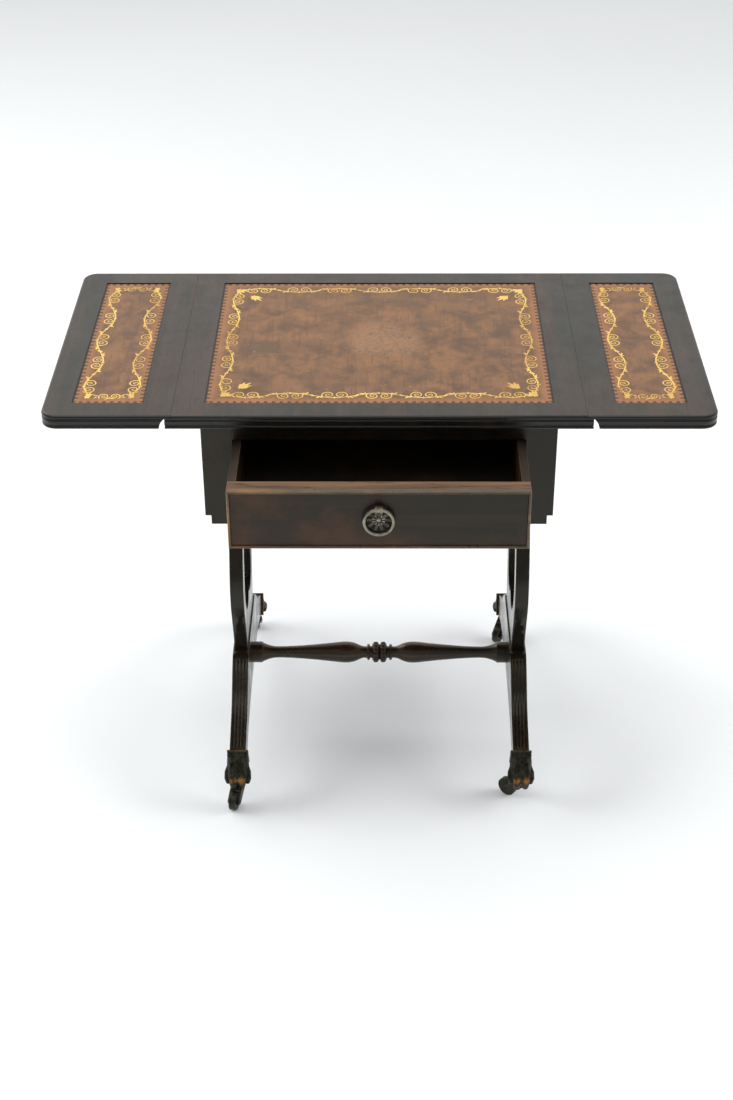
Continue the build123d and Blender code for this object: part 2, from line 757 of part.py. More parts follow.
with BuildPart() as stretcher:
    with BuildSketch(Plane.XZ.offset(-mid_y)):
        with BuildLine():
            level = stretcher_z
            Line((0, level), (0, level + 10.4))
            ThreePointArc((0, level + 10.4), (5.2, level + 13.8), (10.4, level + 10.2))
            Line((10.4, level + 10.2), (10.4, level + 8.4))
            Line((10.4, level + 8.4), (13.6, level + 8.4))
            ThreePointArc((13.6, level + 8.4), (15.6, level + 11.4), (17.6, level + 8.4))
            Spline(
                (17.6, level + 8.4),
                (25, level + 8.9),
                (33, level + 12.4),
                (44, level + 14.85),
                (62, level + 13.8),
                (100, level + 10.1),
                (138, level + 8.0),
                (150, level + 8.6),
                (160, level + 11.6),
                (165, level + 14.0),
            )
            Line((165, level + 14.0), (165, level + 14.8))
            Line((165, level + 14.8), (stretcher_half, level + 14.8))
            Polyline(
                (stretcher_half, level + 14.8),
                (stretcher_half, level + tenon_radius),
                (stretcher_half + tenon_length, level + tenon_radius),
                (stretcher_half + tenon_length, level),
                (0, level),
            )
        make_face()
        mirror(about=Plane.YZ)
    revolve(axis=Axis((0, mid_y, stretcher_z), (1, 0, 0)))
stretcher.part.label = "stretcher"
export_step(stretcher.part, "parts/stretcher.step")


# ---- paw sockets and casters ----------------------------------------------------------
collar_half_x = 14.2
toe_spacing = 8.8
toe_radius = 5.4
claw_radius = 3.6
fork_plate = (27.7, 31.0)
arm_thick = 3.0
arm_inside = wheel_width / 2 + 0.6
axle_proud = 0.8
wheel_clear = 1.0

# name, side, facing, and the way the caster trails, degrees from the outward Y direction
corners = (
    ("front_left", -1, -1, -15.0),
    ("front_right", 1, -1, -130.0),
    ("back_left", -1, 1, 0.0),
    ("back_right", 1, 1, -150.0),
)


def make_paw(sign, facing):
    """A lion's paw socket: collar round the leg's end, instep, four toes and claws."""
    plane = Plane(
        origin=(sign * end_x - facing * collar_half_x, mid_y, 0),
        x_dir=(0, facing, 0),
        z_dir=(facing, 0, 0),
    )
    with BuildPart() as paw:
        with BuildSketch(plane):
            with BuildLine():
                Polyline(leg_point(4, -15.5), leg_point(-4, -17.5), leg_point(-4, 17.5), leg_point(4, 17.5))
                Polyline(leg_point(4, 17.5), leg_point(4, 15.5))
                Spline(
                    leg_point(4, 15.5),
                    (198, 67),
                    (209, 54),
                    (213, 44),
                    tangents=(leg_out, (0.1, -1)),
                )
                Polyline((213, 44), (208, paw_bottom), (172, paw_bottom), (170, 40), leg_point(4, -15.5))
            make_face()
        extrude(amount=2 * collar_half_x)
        for toe in (-1.5, -0.5, 0.5, 1.5):
            toe_x = sign * end_x + toe * toe_spacing
            with Locations((toe_x, mid_y + facing * 206, 49)):
                Sphere(toe_radius)
            with Locations((toe_x, mid_y + facing * 210.5, 37.5)):
                Sphere(claw_radius)
        # pocket for the leg and bore for the caster stem
        with BuildSketch(plane.offset(collar_half_x - leg_thick / 2 - 0.1)):
            with BuildLine():
                deep = leg_end_deep / 2 + 0.1
                Polyline(
                    leg_point(-20, deep),
                    leg_point(socket_hold + 0.2, deep),
                    leg_point(socket_hold + 0.2, -deep),
                    leg_point(-20, -deep),
                    leg_point(-20, deep),
                )
            make_face()
        extrude(amount=leg_thick + 0.2, mode=Mode.SUBTRACT)
        with Locations((sign * end_x, mid_y + facing * swivel_y, 0)):
            Cylinder(
                stem_radius + hair,
                stem_top + 0.5,
                align=(Align.CENTER, Align.CENTER, Align.MIN),
                mode=Mode.SUBTRACT,
            )
    return paw


def caster_frame(sign, facing, turn):
    """Plane at the swivel's foot on the floor, its X pointing where the wheel trails."""
    angle = math.radians(turn)
    trail_dir = (math.sin(angle), facing * math.cos(angle), 0)
    return Plane(origin=(sign * end_x, mid_y + facing * swivel_y, 0), x_dir=trail_dir, z_dir=(0, 0, 1))


def make_horn(frame):
    """The caster's horn: stem, round plate, two arms and the riveted axle."""
    side_plane = Plane(origin=frame.origin, x_dir=frame.x_dir, z_dir=-frame.y_dir)
    with BuildPart() as horn:
        with BuildSketch(frame.offset(fork_plate[0])):
            Circle(10.0)
        extrude(amount=fork_plate[1] - fork_plate[0])
        with BuildSketch(frame.offset(fork_plate[0])):
            Circle(stem_radius)
        extrude(amount=stem_top - fork_plate[0])
        for start in (arm_inside, -arm_inside - arm_thick):
            with BuildSketch(side_plane.offset(start)):
                with BuildLine():
                    Polyline((-5, fork_plate[1]), (-5, fork_plate[0] - 3), (trail - 4.4, wheel_radius - 2.4))
                    ThreePointArc(
                        (trail - 4.4, wheel_radius - 2.4),
                        (trail + 3.5, wheel_radius - 3.5),
                        (trail + 4.4, wheel_radius + 2.4),
                    )
                    Polyline((trail + 4.4, wheel_radius + 2.4), (8, fork_plate[1]), (-5, fork_plate[1]))
                make_face()
            extrude(amount=arm_thick)
        # crown between the arms, hollowed clear of the wheel
        with BuildSketch(side_plane.offset(-arm_inside)):
            with BuildLine():
                Polyline(
                    (-5, fork_plate[1]),
                    (-5, fork_plate[0] - 3),
                    (8, 15.8),
                    (14, fork_plate[0]),
                    (14, fork_plate[1]),
                    (-5, fork_plate[1]),
                )
            make_face()
            with Locations((trail, wheel_radius)):
                Circle(wheel_radius + wheel_clear, mode=Mode.SUBTRACT)
        extrude(amount=2 * arm_inside)
        with BuildSketch(side_plane.offset(-arm_inside - arm_thick - axle_proud)):
            with Locations((trail, wheel_radius)):
                Circle(axle_radius)
        extrude(amount=2 * (arm_inside + arm_thick + axle_proud))
    return horn


def make_wheel(frame):
    """A small crowned wheel, bored for the axle."""
    side_plane = Plane(origin=frame.origin, x_dir=frame.x_dir, z_dir=-frame.y_dir)
    with BuildPart() as wheel:
        with BuildSketch(side_plane.offset(-wheel_width / 2)):
            with Locations((trail, wheel_radius)):
                Circle(wheel_radius)
                Circle(axle_radius + hair, mode=Mode.SUBTRACT)
        extrude(amount=wheel_width)
        tread = wheel.edges().filter_by(GeomType.CIRCLE).sort_by(SortBy.RADIUS)[-2:]
        fillet(tread, radius=1.6)
    return wheel


for name, sign, facing, turn in corners:
    paw = make_paw(sign, facing)
    paw.part.label = f"{name}_paw"
    export_step(paw.part, f"parts/{name}_paw.step")

    frame = caster_frame(sign, facing, turn)
    horn = make_horn(frame)
    horn.part.label = f"{name}_horn"
    export_step(horn.part, f"parts/{name}_horn.step")

    wheel = make_wheel(frame)
    wheel.part.label = f"{name}_wheel"
    export_step(wheel.part, f"parts/{name}_wheel.step")
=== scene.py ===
import math

import bmesh
import bpy
from mathutils import Matrix, Vector


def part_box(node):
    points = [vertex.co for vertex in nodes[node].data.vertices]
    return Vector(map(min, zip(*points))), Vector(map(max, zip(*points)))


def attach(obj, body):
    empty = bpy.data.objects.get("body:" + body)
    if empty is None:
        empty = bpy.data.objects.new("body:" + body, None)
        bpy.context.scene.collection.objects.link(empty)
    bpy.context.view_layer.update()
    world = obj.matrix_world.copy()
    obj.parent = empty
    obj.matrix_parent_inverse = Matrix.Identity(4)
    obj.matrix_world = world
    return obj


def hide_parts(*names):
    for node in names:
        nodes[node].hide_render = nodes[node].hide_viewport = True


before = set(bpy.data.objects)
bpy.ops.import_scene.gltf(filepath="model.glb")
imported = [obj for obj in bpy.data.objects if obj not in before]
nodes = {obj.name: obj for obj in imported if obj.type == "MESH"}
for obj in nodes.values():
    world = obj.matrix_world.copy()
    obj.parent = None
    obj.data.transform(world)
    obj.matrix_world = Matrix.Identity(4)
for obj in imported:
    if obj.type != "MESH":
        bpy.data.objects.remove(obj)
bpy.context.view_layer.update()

# Metres throughout.  X runs from leaf to leaf, -Y is the drawer side, +Z is up.
MM = 0.001
top_low, top_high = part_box("top_board")
mid_y = (top_low.y + top_high.y) / 2
table_top = Vector((0, mid_y, top_high.z))
drawer_low, drawer_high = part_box("drawer_front")


# ---- shader building ----------------------------------------------------------------
class Shader:
    """A material's node tree, with short calls for the nodes that the finishes share."""

    def __init__(self, name, **surface):
        self.material = bpy.data.materials.new(name)
        self.material.use_nodes = True
        self.tree = self.material.node_tree
        self.tree.nodes.clear()
        output = self.tree.nodes.new("ShaderNodeOutputMaterial")
        self.surface = self.tree.nodes.new("ShaderNodeBsdfPrincipled")
        self.tree.links.new(self.surface.outputs[0], output.inputs[0])
        for socket, value in surface.items():
            self.surface.inputs[socket.replace("_", " ")].default_value = value
        self.place = self.node("TexCoord").outputs["Object"]

    def node(self, kind, inputs=None, **settings):
        made = self.tree.nodes.new("ShaderNode" + kind)
        for key, value in settings.items():
            setattr(made, key, value)
        for key, value in (inputs or {}).items():
            self.feed(made.inputs[key], value)
        return made

    def feed(self, socket, value):
        if isinstance(value, bpy.types.NodeSocket):
            self.tree.links.new(value, socket)
        else:
            socket.default_value = value

    def math(self, operation, a, b=0.0, c=0.0):
        return self.node("Math", {0: a, 1: b, 2: c}, operation=operation).outputs[0]

    def mix(self, factor, a, b, blend="MIX"):
        made = self.node("Mix", {0: factor, 6: a, 7: b}, data_type="RGBA", blend_type=blend)
        return made.outputs[2]

    def spread(self, value, low, high, to_low=0.0, to_high=1.0):
        """value between low and high, carried over smoothly to the other range."""
        inputs = {0: value, 1: low, 2: high, 3: to_low, 4: to_high}
        return self.node("MapRange", inputs, interpolation_type="SMOOTHSTEP").outputs[0]

    def noise(self, scale, detail=4.0, rough=0.55, place=None, distortion=0.0):
        inputs = {"Scale": scale, "Detail": detail, "Roughness": rough, "Distortion": distortion}
        inputs["Vector"] = place or self.place
        return self.node("TexNoise", inputs).outputs["Fac"]

    def stretched(self, scale):
        """The object's own coordinates, scaled by a different amount along each axis."""
        return self.node("Mapping", {"Vector": self.place, "Scale": scale}).outputs[0]

    def bump(self, height, strength, distance, normal=None):
        inputs = {"Height": height, "Strength": strength, "Distance": distance}
        if normal:
            inputs["Normal"] = normal
        return self.node("Bump", inputs).outputs[0]

    def edges(self, radius):
        """1 on sharp edges, falling to 0 about radius away."""
        rounded = self.node("Bevel", {"Radius": radius}, samples=4).outputs[0]
        plain = self.node("NewGeometry").outputs["Normal"]
        same = self.node("VectorMath", {0: rounded, 1: plain}, operation="DOT_PRODUCT")
        return self.spread(same.outputs["Value"], 0.995, 0.80)

    def facing(self, axis):
        """X, Y or Z of the surface normal in the object's own frame, so it turns with a leaf."""
        normal = self.node("TexCoord").outputs["Normal"]
        return self.node("SeparateXYZ", {0: normal}).outputs[axis]

    def finish(self, colour, roughness, normal):
        self.feed(self.surface.inputs["Base Color"], colour)
        self.feed(self.surface.inputs["Roughness"], roughness)
        self.feed(self.surface.inputs["Normal"], normal)
        return self.material


def tone(red, green, blue):
    """A linear colour from 0-255 display values."""
    def linear(value):
        value /= 255
        return value / 12.92 if value <= 0.04045 else ((value + 0.055) / 1.055) ** 2.4

    return (linear(red), linear(green), linear(blue), 1.0)


# ---- finishes -----------------------------------------------------------------------
BLACK_BROWN = tone(20, 18, 13)
WORN_WOOD = tone(112, 84, 62)
WARM_POLISH = (1.0, 0.95, 0.82, 1.0)
NEUTRAL_POLISH = (0.97, 1.0, 1.0, 1.0)


def wood(name, grain, ground, figure, worn, gloss, wear, patches, specular=0.5,
         polish=WARM_POLISH, painted_side_shade=0.0):
    """Stained wood: fine pores and a slow figure along the grain, patches where the stain has
    thinned, and edges rubbed back to a paler brown.  A painted shade darkens all but the upper face."""
    shader = Shader(name, Specular_IOR_Level=specular, Specular_Tint=polish)
    along, across = 2.2, 34.0
    scale = [along if axis == grain else across for axis in "XYZ"]
    figured = shader.noise(1.0, 6.0, 0.6, shader.stretched(scale), 0.6)
    pores = shader.noise(1.0, 3.0, 0.7, shader.stretched([s * 22 for s in scale]))
    cloud = shader.noise(7.0, 5.0, 0.6)
    smears = shader.noise(24.0, 4.0, 0.6, distortion=0.8)
    colour = shader.mix(shader.spread(figured, 0.38, 0.68), ground, figure)
    thin = shader.math("MULTIPLY", shader.spread(cloud, 0.45, 0.72), patches)
    colour = shader.mix(thin, colour, worn)
    dark_pores = shader.spread(pores, 0.50, 0.62, 1.0, 0.55)
    colour = shader.mix(1.0, colour, dark_pores, "MULTIPLY")
    # painted shade: faces that don't point up are darkened towards black, as if lit only from above
    if painted_side_shade:
        beside = shader.spread(shader.facing("Z"), 0.97, 0.80, 0.0, painted_side_shade)
        colour = shader.mix(beside, colour, tone(7, 6, 4))
    rubbed = shader.math("MULTIPLY", shader.edges(1.3 * MM), shader.spread(smears, 0.40, 0.66))
    colour = shader.mix(shader.math("MULTIPLY", rubbed, wear), colour, WORN_WOOD)
    roughness = shader.spread(smears, 0.25, 0.75, gloss - 0.05, gloss + 0.13)
    normal = shader.bump(pores, 0.10, 0.15 * MM)
    normal = shader.bump(cloud, 0.25, 0.8 * MM, normal)
    return shader.finish(colour, roughness, normal)


def worn_top_wood(name, grain, bare, dull, worn_amount):
    """Drawer wood whose upward faces are rubbed bare, with dark chips along them."""
    shader = Shader(name, Specular_IOR_Level=0.38, Specular_Tint=WARM_POLISH)
    scale = [3.0 if axis == grain else 46.0 for axis in "XYZ"]
    figured = shader.noise(1.0, 6.0, 0.6, shader.stretched(scale), 0.5)
    cloud = shader.noise(9.0, 5.0, 0.6)
    chipped = [26.0 if axis == grain else 190.0 for axis in "XYZ"]
    chips = shader.noise(1.0, 5.0, 0.65, shader.stretched(chipped))
    colour = shader.mix(shader.spread(figured, 0.36, 0.66), BLACK_BROWN, tone(38, 27, 20))
    colour = shader.mix(shader.spread(cloud, 0.47, 0.66, 0.0, 0.85), colour, tone(72, 44, 27))
    upward = shader.spread(shader.facing("Z"), 0.55, 0.9)
    bare_tone = shader.mix(shader.spread(figured, 0.35, 0.65), bare, dull)
    bare_tone = shader.mix(shader.spread(chips, 0.55, 0.66, 0.0, 0.8), bare_tone, tone(34, 26, 22))
    colour = shader.mix(shader.math("MULTIPLY", upward, worn_amount), colour, bare_tone)
    rubbed = shader.math("MULTIPLY", shader.edges(1.2 * MM), shader.spread(chips, 0.42, 0.56))
    colour = shader.mix(shader.math("MULTIPLY", rubbed, 0.85), colour, WORN_WOOD)
    roughness = shader.spread(upward, 0.0, 1.0, 0.36, 0.62)
    normal = shader.bump(chips, 0.3, 0.25 * MM)
    normal = shader.bump(cloud, 0.3, 0.7 * MM, normal)
    return shader.finish(colour, roughness, normal)


HIDE = tone(134, 94, 62)
HIDE_DARK = tone(82, 55, 36)
HIDE_SMOKE = tone(94, 70, 50)
HIDE_EDGE = tone(158, 104, 62)
TICK_PITCH = 9.3 * MM
TICK_LENGTH = 7.0 * MM


def leather(name, node, worn_centre):
    """Polished hide: fine grain, mottling, orange towards the rolled edge, a row of dark blind
    ticks along every side, scratches, a paler rubbed middle, and a painted shadow along its sunk edges."""
    low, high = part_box(node)
    middle, half = (low + high) / 2, (high - low) / 2
    shader = Shader(name, Specular_IOR_Level=0.42)
    split = shader.node("SeparateXYZ", {0: shader.place}).outputs
    from_mid = [shader.math("SUBTRACT", split[axis], middle[axis]) for axis in (0, 1)]
    inside = [
        shader.math("SUBTRACT", half[axis], shader.math("ABSOLUTE", from_mid[axis])) for axis in (0, 1)
    ]
    edge = shader.math("MINIMUM", *inside)
    by_x = shader.math("LESS_THAN", inside[0], inside[1])
    along = shader.node("Mix", {0: by_x, 2: from_mid[0], 3: from_mid[1]}, data_type="FLOAT").outputs[0]
    phase = shader.math("FRACT", shader.math("DIVIDE", along, TICK_PITCH))
    beside = shader.math("ABSOLUTE", shader.math("SUBTRACT", phase, 0.5))
    reaching = shader.spread(edge, TICK_LENGTH, 0.75 * TICK_LENGTH)
    tick = shader.math("MULTIPLY", shader.spread(beside, 0.28, 0.16), reaching)
    mottle = shader.noise(30.0, 7.0, 0.68, distortion=0.4)
    blotch = shader.noise(8.0, 6.0, 0.65, distortion=0.7)
    speck = shader.noise(210.0, 3.0, 0.7)
    grain = shader.node("TexVoronoi", {"Vector": shader.place, "Scale": 1100.0}).outputs["Distance"]
    creases = shader.noise(420.0, 4.0, 0.6)
    scratch = shader.noise(1.0, 3.0, 0.5, shader.stretched((52.0, 170.0, 1.0)), 2.6)
    brushed = shader.noise(1.0, 4.0, 0.6, shader.stretched((300.0, 20.0, 1.0)))

    colour = shader.mix(shader.spread(mottle, 0.32, 0.66), HIDE_DARK, HIDE)
    colour = shader.mix(shader.spread(blotch, 0.42, 0.66, 0.0, 0.38), colour, HIDE_SMOKE)
    colour = shader.mix(shader.spread(brushed, 0.50, 0.70, 0.0, 0.5), colour, HIDE_DARK)
    rim = shader.math("MULTIPLY_ADD", blotch, 12 * MM, edge)
    colour = shader.mix(shader.spread(rim, 26 * MM, 8 * MM, 0.0, 0.72), colour, HIDE_EDGE)
    if worn_centre:
        reach = shader.node(
            "VectorMath", {0: shader.place, 1: tuple(middle)}, operation="DISTANCE"
        ).outputs["Value"]
        ragged = shader.math("MULTIPLY_ADD", blotch, 0.12, shader.math("MULTIPLY_ADD", mottle, 0.08, reach))
        speckled = shader.spread(speck, 0.34, 0.60, 0.12, 0.72)
        pale = shader.math("MULTIPLY", shader.spread(ragged, 0.152, 0.118), speckled)
        colour = shader.mix(pale, colour, tone(146, 110, 80))
    places = shader.spread(blotch, 0.48, 0.60)
    marks = shader.math("MULTIPLY", shader.spread(scratch, 0.68, 0.72), places)
    colour = shader.mix(shader.math("MULTIPLY", marks, 0.6), colour, tone(200, 158, 112))
    colour = shader.mix(shader.spread(speck, 0.60, 0.72, 0.0, 0.4), colour, HIDE_DARK)
    colour = shader.mix(shader.math("MULTIPLY", tick, 0.8), colour, tone(30, 22, 17))
    # painted shadow: near black within 1.6 mm of every edge, fading out by 2.8 mm, for the sunk recess
    colour = shader.mix(shader.spread(edge, 2.8 * MM, 1.6 * MM, 0.0, 0.9), colour, tone(24, 18, 15))
    roughness = shader.spread(mottle, 0.25, 0.75, 0.36, 0.52)
    normal = shader.bump(grain, 0.16, 0.12 * MM)
    normal = shader.bump(creases, 0.12, 0.2 * MM, normal)
    pressed = shader.math("SUBTRACT", 1.0, tick)
    normal = shader.bump(pressed, 0.5, 0.25 * MM, normal)
    return shader.finish(colour, roughness, normal)


def gold_leaf():
    """Gold pressed into leather, rubbed away here and there."""
    shader = Shader("gold_leaf", Metallic=0.35, Specular_IOR_Level=0.6)
    wear = shader.noise(95.0, 4.0, 0.65)
    broad = shader.noise(14.0, 3.0, 0.5)
    colour = shader.mix(shader.spread(broad, 0.35, 0.7), tone(232, 196, 104), tone(204, 160, 76))
    rubbed = shader.math("MULTIPLY", shader.spread(wear, 0.54, 0.62), shader.spread(broad, 0.35, 0.6))
    colour = shader.mix(shader.math("MULTIPLY", rubbed, 0.75), colour, tone(150, 108, 64))
    roughness = shader.spread(wear, 0.3, 0.7, 0.34, 0.52)
    return shader.finish(colour, roughness, shader.bump(wear, 0.2, 0.1 * MM))


def aged_metal(name, ground, lit, bright, worn_attribute=False, gloss=0.38, metallic=0.85):
    """Cast metal with a dark patina in the hollows, rubbed pale on edges and high places."""
    shader = Shader(name, Metallic=metallic)
    patina = shader.noise(130.0, 5.0, 0.65)
    cloud = shader.noise(38.0, 4.0, 0.55)
    colour = shader.mix(shader.spread(patina, 0.35, 0.68), ground, lit)
    edge = shader.math("MULTIPLY", shader.edges(0.9 * MM), shader.spread(cloud, 0.30, 0.60, 0.3, 1.0))
    colour = shader.mix(shader.math("MULTIPLY", edge, 0.45), colour, bright)
    if worn_attribute:
        worn = shader.node("Attribute", attribute_name="worn").outputs["Fac"]
        worn = shader.math("MULTIPLY", worn, shader.spread(patina, 0.36, 0.60, 0.25, 1.0))
        colour = shader.mix(worn, colour, bright)
    roughness = shader.spread(patina, 0.3, 0.7, gloss, gloss + 0.2)
    normal = shader.bump(patina, 0.28, 0.25 * MM)
    return shader.finish(colour, roughness, normal)


def pale_floor():
    """A plain pale studio floor, with the faintest unevenness."""
    shader = Shader("pale_floor", Specular_IOR_Level=0.15)
    cloud = shader.noise(1.3, 3.0, 0.5)
    colour = shader.mix(cloud, tone(223, 227, 233), tone(229, 233, 239))
    roughness = shader.spread(cloud, 0.3, 0.7, 0.62, 0.70)
    return shader.finish(colour, roughness, shader.bump(cloud, 0.02, MM))


# ---- mesh building ------------------------------------------------------------------
def make_piece(name, verts, faces, material, body, stands_for=(), smooth_angle=None):
    """A mesh piece that rides on a body, takes its finish from a slot and may replace CAD nodes."""
    mesh = bpy.data.meshes.new(name)
    mesh.from_pydata([tuple(v) for v in verts], [], faces)
    mesh.materials.append(material)
    piece = bpy.data.objects.new(name, mesh)
    bpy.context.scene.collection.objects.link(piece)
    if smooth_angle is not None:
        mesh.shade_smooth()
        mesh.set_sharp_from_angle(angle=math.radians(smooth_angle))
    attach(piece, body)
    if stands_for:
        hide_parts(*stands_for)
    return piece


class Ribbons:
    """Thin raised strips in a flat plane, gathered into one mesh."""

    def __init__(self, level, rise):
        self.level, self.rise = level, rise
        self.layer = 0
        self.verts, self.faces = [], []

    def add(self, points, widths):
        """A strip along points, as wide at each as widths says, with sloping sides."""
        first = len(self.verts)
        count = len(points)
        self.layer = (self.layer + 1) % 9
        crest = self.level + self.rise + self.layer * 0.012 * MM
        for i, (point, width) in enumerate(zip(points, widths)):
            ahead = points[min(i + 1, count - 1)] - points[max(i - 1, 0)]
            side = Vector((-ahead.y, ahead.x)).normalized() * width / 2
            sunk = self.level - 0.05 * MM
            for offset, z in ((side, sunk), (side * 0.6, crest), (side * -0.6, crest), (-side, sunk)):
                at = point + offset
                self.verts.append((at.x, at.y, z))
        for i in range(count - 1):
            a, b = first + 4 * i, first + 4 * i + 4
            for j in range(4):
                k = (j + 1) % 4
                self.faces.append((a + j, b + j, b + k, a + k))
        self.faces.append((first + 3, first + 2, first + 1, first))
        last = first + 4 * (count - 1)
        self.faces.append((last, last + 1, last + 2, last + 3))


def bezier(a, b, c, d, steps=12):
    """Points along a cubic curve."""
    points = []
    for i in range(steps + 1):
        t = i / steps
        u = 1 - t
        points.append(a * u**3 + b * (3 * u * u * t) + c * (3 * u * t * t) + d * t**3)
    return points


# ---- gold tooling -------------------------------------------------------------------
CORNER_REACH = 27 * MM      # taken up by a corner's flower and sprays
STEM = 1.8 * MM


class Side:
    """One side of a border: s runs along it and t runs inwards, on the leather's plane."""

    def __init__(self, ribbons, start, end, inward, wave):
        self.ribbons = ribbons
        self.wave = wave                # the stem swings this far each way
        self.start = start
        self.length = (end - start).length
        self.along = (end - start).normalized()
        self.inward = inward

    def at(self, s, t):
        return self.start + self.along * s + self.inward * t

    def strip(self, points, widths):
        self.ribbons.add([self.at(p.x, p.y) for p in points], widths)

    def leaf(self, s, t, angle, length, width, bend=0.25):
        """A pointed leaf from (s, t), heading angle degrees from the s direction."""
        way = Vector((math.cos(math.radians(angle)), math.sin(math.radians(angle))))
        side = Vector((-way.y, way.x))
        steps = 8
        points, widths = [], []
        for i in range(steps + 1):
            share = i / steps
            points.append(Vector((s, t)) + way * length * share + side * bend * length * share**2)
            widths.append(width * math.sin(math.pi * (0.08 + 0.90 * share**0.8)) + 0.15 * MM)
        self.strip(points, widths)

    def volute(self, centre, radius, hand, out, turns=1.75):
        """A spiral that leaves the stem beside centre, on the hand side, and curls over it; out is
        the side of the stem it stands on."""
        steps = 38
        points, widths = [], []
        for i in range(steps + 1):
            share = i / steps
            turn = math.radians(-48) + 2 * math.pi * turns * share
            reach = radius * (0.16 + 1.34 * (1 - share) ** 1.25)
            points.append(centre + Vector((hand * math.cos(turn), out * math.sin(turn))) * reach)
            widths.append(STEM * (0.95 - 0.40 * share))
        widths[-1] = widths[-2] = STEM * 1.1
        self.strip(points, widths)

    def flower(self, s, t, size, petals=5):
        for k in range(petals):
            self.leaf(s, t, 90 + 360 * k / petals, size, size * 0.75, 0.0)

    def rinceau(self, first, last, periods):
        """The waving stem, a pair of volutes in every bay, and leaves where they part."""
        period = (last - first) / periods
        steps = 28 * periods
        points, widths = [], []
        for i in range(steps + 1):
            s = first + (last - first) * i / steps
            swing = math.cos(2 * math.pi * (s - first) / period)
            points.append(Vector((s, -self.wave * swing)))
            widths.append(STEM * (0.8 + 0.45 * abs(swing)))
        self.strip(points, widths)
        for bay in range(2 * periods + 1):
            s = first + bay * period / 2
            out = 1 if bay % 2 == 0 else -1
            for hand in (-1, 1):
                centre = Vector((s + hand * 7.6 * MM, out * (6.8 * MM - self.wave)))
                self.volute(centre, 5.6 * MM, hand, out)
                if not first <= s + hand * 0.2 * period <= last:
                    continue
                straight = 180 if hand < 0 else 0
                lean = hand * out
                node = s + hand * 0.165 * period
                crest = -out * self.wave * math.cos(2 * math.pi * 0.165)
                self.leaf(node, crest, straight - lean * 34, 6.5 * MM, 3.0 * MM)
                self.leaf(node, crest, straight + 180 + lean * 62, 4.6 * MM, 2.6 * MM)
                self.leaf(s + hand * 0.235 * period, 0, straight + lean * 26, 6.0 * MM, 2.4 * MM)
            self.flower(s, -out * self.wave, 2.6 * MM, 4)

    def corner_spray(self, hand):
        """What grows out of the corner flower along this side; hand is +1 at the side's start."""
        base = 0 if hand > 0 else self.length
        root = Vector((base + hand * 3 * MM, 0))
        ahead = Vector((hand * 9 * MM, 0))
        end = Vector((base + hand * CORNER_REACH, -self.wave))
        points = bezier(root, root + ahead, end - ahead, end, 14)
        self.strip(points, [STEM] * len(points))
        straight = 0 if hand > 0 else 180
        for turn, length in ((10, 11.0), (42, 9.0), (-26, 8.0)):
            heading = straight + hand * turn
            self.leaf(base + hand * 2 * MM, 0, heading, length * MM, 3.2 * MM, hand * 0.2)


def tool_panel(name, node, body, inset, wave, periods, fleurons):
    """The gold border of one leather panel, and small fleurons in its inner corners."""
    low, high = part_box(node)
    ribbons = Ribbons(high.z, 0.10 * MM)
    corners = [
        Vector((low.x + inset, low.y + inset)),
        Vector((high.x - inset, low.y + inset)),
        Vector((high.x - inset, high.y - inset)),
        Vector((low.x + inset, high.y - inset)),
    ]
    inwards = [Vector((0, 1)), Vector((-1, 0)), Vector((0, -1)), Vector((1, 0))]
    for k in range(4):
        side = Side(ribbons, corners[k], corners[(k + 1) % 4], inwards[k], wave)
        waves = periods[k % 2]
        if waves:
            side.corner_spray(1)
            side.corner_spray(-1)
            side.rinceau(CORNER_REACH, side.length - CORNER_REACH, waves)
        else:
            middle = side.length / 2
            for hand in (-1, 1):
                side.volute(Vector((middle + hand * 6.6 * MM, 1.6 * MM)), 4.6 * MM, hand, 1)
                side.leaf(middle + hand * 14 * MM, 3 * MM, 90 - hand * 60, 6.5 * MM, 2.2 * MM)
                side.leaf(middle + hand * 15 * MM, 1 * MM, -90 + hand * 50, 5.5 * MM, 2.0 * MM)
                side.leaf(middle, -2.2 * MM, -90 + hand * 62, 7.5 * MM, 2.0 * MM)
            side.flower(middle, -2.4 * MM, 2.0 * MM, 4)
        side.flower(0, 0, 4.4 * MM, 5)
        if fleurons:
            for turn, length in ((45, 17.0), (18, 13.5), (72, 13.5), (-8, 9.0), (98, 9.0)):
                side.leaf(20 * MM, 20 * MM, turn, length * MM, 4.6 * MM, 0.0)
            side.flower(20 * MM, 20 * MM, 4.2 * MM, 5)
    material = bpy.data.materials.get("gold_leaf") or gold_leaf()
    return make_piece(name, ribbons.verts, ribbons.faces, material, body)


# ---- brass paws ---------------------------------------------------------------------
def add_blob(bm, centre, radii, tilt=0.0):
    """An ellipsoid, its long axes turned by tilt about X."""
    matrix = Matrix.Translation(centre) @ Matrix.Rotation(tilt, 4, "X") @ Matrix.Diagonal((*radii, 1))
    bmesh.ops.create_icosphere(bm, subdivisions=3, radius=1.0, matrix=matrix)


def add_run(bm, points, radii, steps=10):
    """A rounded limb through points, its thickness running smoothly through radii."""
    for (a, b), (low, high) in zip(zip(points, points[1:]), zip(radii, radii[1:])):
        for i in range(steps + 1):
            share = i / steps
            add_blob(bm, a.lerp(b, share), [low + (high - low) * share] * 3)


def add_block(bm, centre, half, tilt):
    """A rectangular block turned by tilt about X."""
    stretch = Matrix.Diagonal((*(2 * h for h in half), 1))
    matrix = Matrix.Translation(centre) @ Matrix.Rotation(tilt, 4, "X") @ stretch
    bmesh.ops.create_cube(bm, size=1.0, matrix=matrix)


def add_loop(bm, centre, radii, wire, tilt, steps=28):
    """A raised oval line lying in a plane turned by tilt about X."""
    turn = Matrix.Rotation(tilt, 3, "X")
    for i in range(steps):
        angle = 2 * math.pi * i / steps
        spoke = turn @ Vector((radii[0] * math.cos(angle), radii[1] * math.sin(angle), 0))
        add_blob(bm, centre + spoke, (wire, wire, wire))


